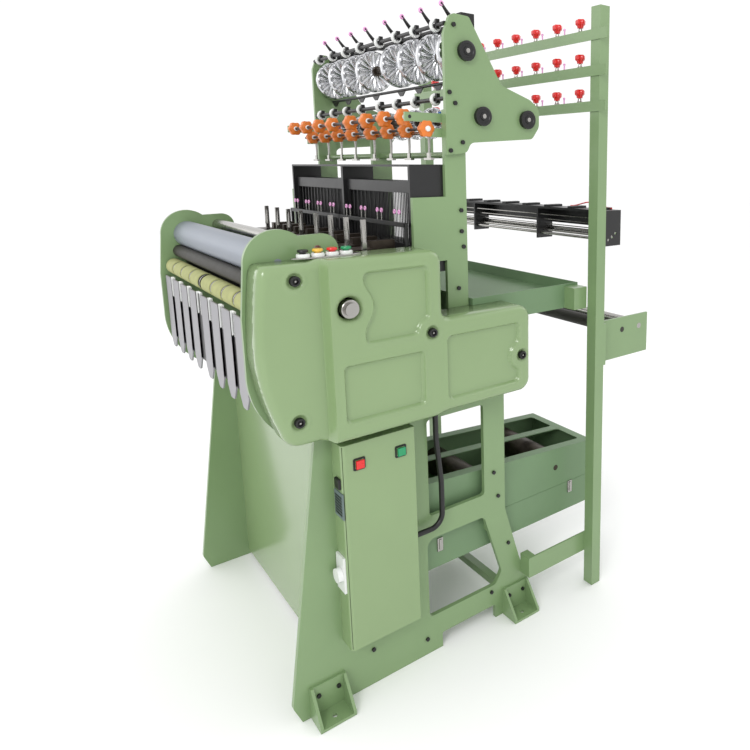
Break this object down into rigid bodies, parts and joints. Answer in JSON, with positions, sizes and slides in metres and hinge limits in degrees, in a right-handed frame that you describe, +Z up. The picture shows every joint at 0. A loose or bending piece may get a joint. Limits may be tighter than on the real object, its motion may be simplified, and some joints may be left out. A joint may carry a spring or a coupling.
{
  "type": "narrow-fabric needle power loom",
  "caption": "Floor-standing narrow-fabric power loom with weaving heads, overhead weft feeders, take-up rollers, side control box and rear creel rack.",
  "frame": {"origin": "on the floor, midway between the four floor anchor holes", "axes": "+X to the operator's right, +Y from the take-up side to the creel, +Z up"},
  "size_m": [1.152, 1.3643, 1.95],
  "materials": {
    "green_paint": "satin",
    "cover_paint": "gloss",
    "dark_green_paint": "satin",
    "black_steel": "satin",
    "bright_steel": "ground",
    "dark_steel": "oiled",
    "alloy": "turned",
    "roller_grey": "matte",
    "tongue_grey": "satin",
    "olive_rubber": "matte",
    "dark_rubber": "matte",
    "orange_plastic": "moulded",
    "red_plastic": "moulded",
    "black_plastic": "moulded",
    "white_plastic": "moulded",
    "yellow_plastic": "moulded",
    "green_plastic": "moulded",
    "ceramic_pink": "glazed",
    "cast_motor": "cast"
  },
  "bodies": {
    "frame": {"button_plate": "bright_steel", "caps_and_bolts": "black_plastic", "chute_sheets": "black_steel", "conduit": "black_plastic", "control_box": "green_paint", "cover_knobs": "black_plastic", "creel_brackets": "green_paint", "creel_knobs": "red_plastic", "creel_posts": "green_paint", "creel_rails": "green_paint", "cross_ties": "green_paint", "drive_motor": "cast_motor", "drop_wire_rods": "bright_steel", "end_plate_left": "green_paint", "end_plate_right": "green_paint", "eyelet_rail": "ceramic_pink", "finger_bar": "black_steel", "floor_tub": "dark_green_paint", "foot_brackets": "green_paint", "front_panel": "green_paint", "harness_guides": "black_steel", "head_plates": "green_paint", "head_table": "black_steel", "overhead_brackets": "green_paint", "rear_roller_plates": "green_paint", "ring_rails": "white_plastic", "side_cover": "cover_paint", "side_frame_left": "green_paint", "side_frame_right": "green_paint", "stop_device_housing": "black_steel", "switch_plate": "white_plastic", "take_off_tongues": "tongue_grey", "uprights": "green_paint", "warp_tray": "dark_green_paint", "weaving_heads": "dark_steel"},
    "take_up": {"take_up_roller": "roller_grey"},
    "nip": {"nip_roller": "dark_rubber"},
    "breast": {"breast_roller": "bright_steel"},
    "guide": {"guide_roller": "olive_rubber"},
    "main": {"main_shaft": "bright_steel"},
    "motor": {"motor_pulley": "dark_steel"},
    "needles": {"needle_levers": "bright_steel"},
    "healds_odd": {"heald_frames_odd": "black_steel"},
    "healds_even": {"heald_frames_even": "black_steel"},
    "feeder_upper": {"feeder_shaft_upper": "alloy"},
    "feeder_middle": {"feeder_shaft_middle": "alloy"},
    "feeder_rear": {"feeder_shaft_rear": "alloy"},
    "wheels": {"pressure_wheels": "orange_plastic"},
    "levers": {"feeder_levers": "bright_steel"},
    "rear_front": {"rear_roller_front": "dark_rubber"},
    "rear_back": {"rear_roller_back": "bright_steel"},
    "tub_front": {"tub_roller_front": "dark_steel"},
    "tub_back": {"tub_roller_back": "dark_steel"},
    "knob": {"switch_knob": "white_plastic"},
    "push_black": {"button_black": "black_plastic"},
    "push_yellow": {"button_yellow": "yellow_plastic"},
    "push_red": {"button_red": "red_plastic"},
    "push_green": {"button_green": "green_plastic"},
    "push_start": {"start_button": "green_plastic"},
    "push_stop": {"stop_button": "red_plastic"}
  },
  "joints": [
    {"name": "take_up_spin", "type": "hinge", "parent": "frame", "child": "take_up", "pos_m": [0, -0.37, 1.243], "axis": [1, 0, 0], "continuous": true},
    {"name": "nip_spin", "type": "hinge", "parent": "frame", "child": "nip", "pos_m": [0, -0.39948, 1.18755], "axis": [1, 0, 0], "continuous": true},
    {"name": "breast_spin", "type": "hinge", "parent": "frame", "child": "breast", "pos_m": [0, -0.272, 1.268], "axis": [1, 0, 0], "continuous": true},
    {"name": "guide_spin", "type": "hinge", "parent": "frame", "child": "guide", "pos_m": [0, -0.422, 1.14], "axis": [1, 0, 0], "continuous": true},
    {"name": "main_spin", "type": "hinge", "parent": "frame", "child": "main", "pos_m": [0, -0.245, 1.131], "axis": [1, 0, 0], "continuous": true},
    {"name": "motor_spin", "type": "hinge", "parent": "frame", "child": "motor", "pos_m": [0.4, -0.156, 0.62], "axis": [1, 0, 0], "continuous": true},
    {"name": "needle_swing", "type": "hinge", "parent": "frame", "child": "needles", "pos_m": [0, -0.135, 1.24], "axis": [1, 0, 0], "range_deg": [-15, 18]},
    {"name": "heald_odd_lift", "type": "slide", "parent": "frame", "child": "healds_odd", "axis": [0, 0, 1], "range_m": [-0.012, 0.012]},
    {"name": "heald_even_lift", "type": "slide", "parent": "frame", "child": "healds_even", "axis": [0, 0, 1], "range_m": [-0.012, 0.012]},
    {"name": "feeder_upper_spin", "type": "hinge", "parent": "frame", "child": "feeder_upper", "pos_m": [0, 0.17, 1.78], "axis": [1, 0, 0], "continuous": true},
    {"name": "feeder_middle_spin", "type": "hinge", "parent": "frame", "child": "feeder_middle", "pos_m": [0, 0.222, 1.608], "axis": [1, 0, 0], "continuous": true},
    {"name": "feeder_rear_spin", "type": "hinge", "parent": "frame", "child": "feeder_rear", "pos_m": [0, 0.385, 1.605], "axis": [1, 0, 0], "continuous": true},
    {"name": "wheel_spin", "type": "hinge", "parent": "frame", "child": "wheels", "pos_m": [0, 0.005, 1.6], "axis": [1, 0, 0], "continuous": true},
    {"name": "lever_swing", "type": "hinge", "parent": "frame", "child": "levers", "pos_m": [0, 0.073, 1.56], "axis": [1, 0, 0], "range_deg": [-12, 12]},
    {"name": "rear_front_spin", "type": "hinge", "parent": "frame", "child": "rear_front", "pos_m": [0, 0.77, 0.905], "axis": [1, 0, 0], "continuous": true},
    {"name": "rear_back_spin", "type": "hinge", "parent": "frame", "child": "rear_back", "pos_m": [0, 0.858, 0.905], "axis": [1, 0, 0], "continuous": true},
    {"name": "tub_front_spin", "type": "hinge", "parent": "frame", "child": "tub_front", "pos_m": [0.2575, 0.25, 0.425], "axis": [1, 0, 0], "continuous": true},
    {"name": "tub_back_spin", "type": "hinge", "parent": "frame", "child": "tub_back", "pos_m": [0.2575, 0.54, 0.425], "axis": [1, 0, 0], "continuous": true},
    {"name": "switch_turn", "type": "hinge", "parent": "frame", "child": "knob", "pos_m": [0.49, -0.274, 0.405], "axis": [0, 1, 0], "range_deg": [0, 90]},
    {"name": "button_black_press", "type": "slide", "parent": "frame", "child": "push_black", "axis": [0, 0, -1], "range_m": [0, 0.003], "stiffness_N_per_m": 250},
    {"name": "button_yellow_press", "type": "slide", "parent": "frame", "child": "push_yellow", "axis": [0, 0, -1], "range_m": [0, 0.003], "stiffness_N_per_m": 250},
    {"name": "button_red_press", "type": "slide", "parent": "frame", "child": "push_red", "axis": [0, 0, -1], "range_m": [0, 0.003], "stiffness_N_per_m": 250},
    {"name": "button_green_press", "type": "slide", "parent": "frame", "child": "push_green", "axis": [0, 0, -1], "range_m": [0, 0.003], "stiffness_N_per_m": 250},
    {"name": "start_button_press", "type": "slide", "parent": "frame", "child": "push_start", "axis": [-1, 0, 0], "range_m": [0, 0.003], "stiffness_N_per_m": 250},
    {"name": "stop_button_press", "type": "slide", "parent": "frame", "child": "push_stop", "axis": [-1, 0, 0], "range_m": [0, 0.003], "stiffness_N_per_m": 250}
  ],
  "couplings": [
    {"joint": "nip_spin", "follows": "take_up_spin", "ratio": -2.125},
    {"joint": "motor_spin", "follows": "main_spin", "ratio": 1.75},
    {"joint": "heald_even_lift", "follows": "heald_odd_lift", "ratio": -1},
    {"joint": "feeder_middle_spin", "follows": "feeder_upper_spin", "ratio": 1},
    {"joint": "feeder_rear_spin", "follows": "feeder_upper_spin", "ratio": 1}
  ]
}
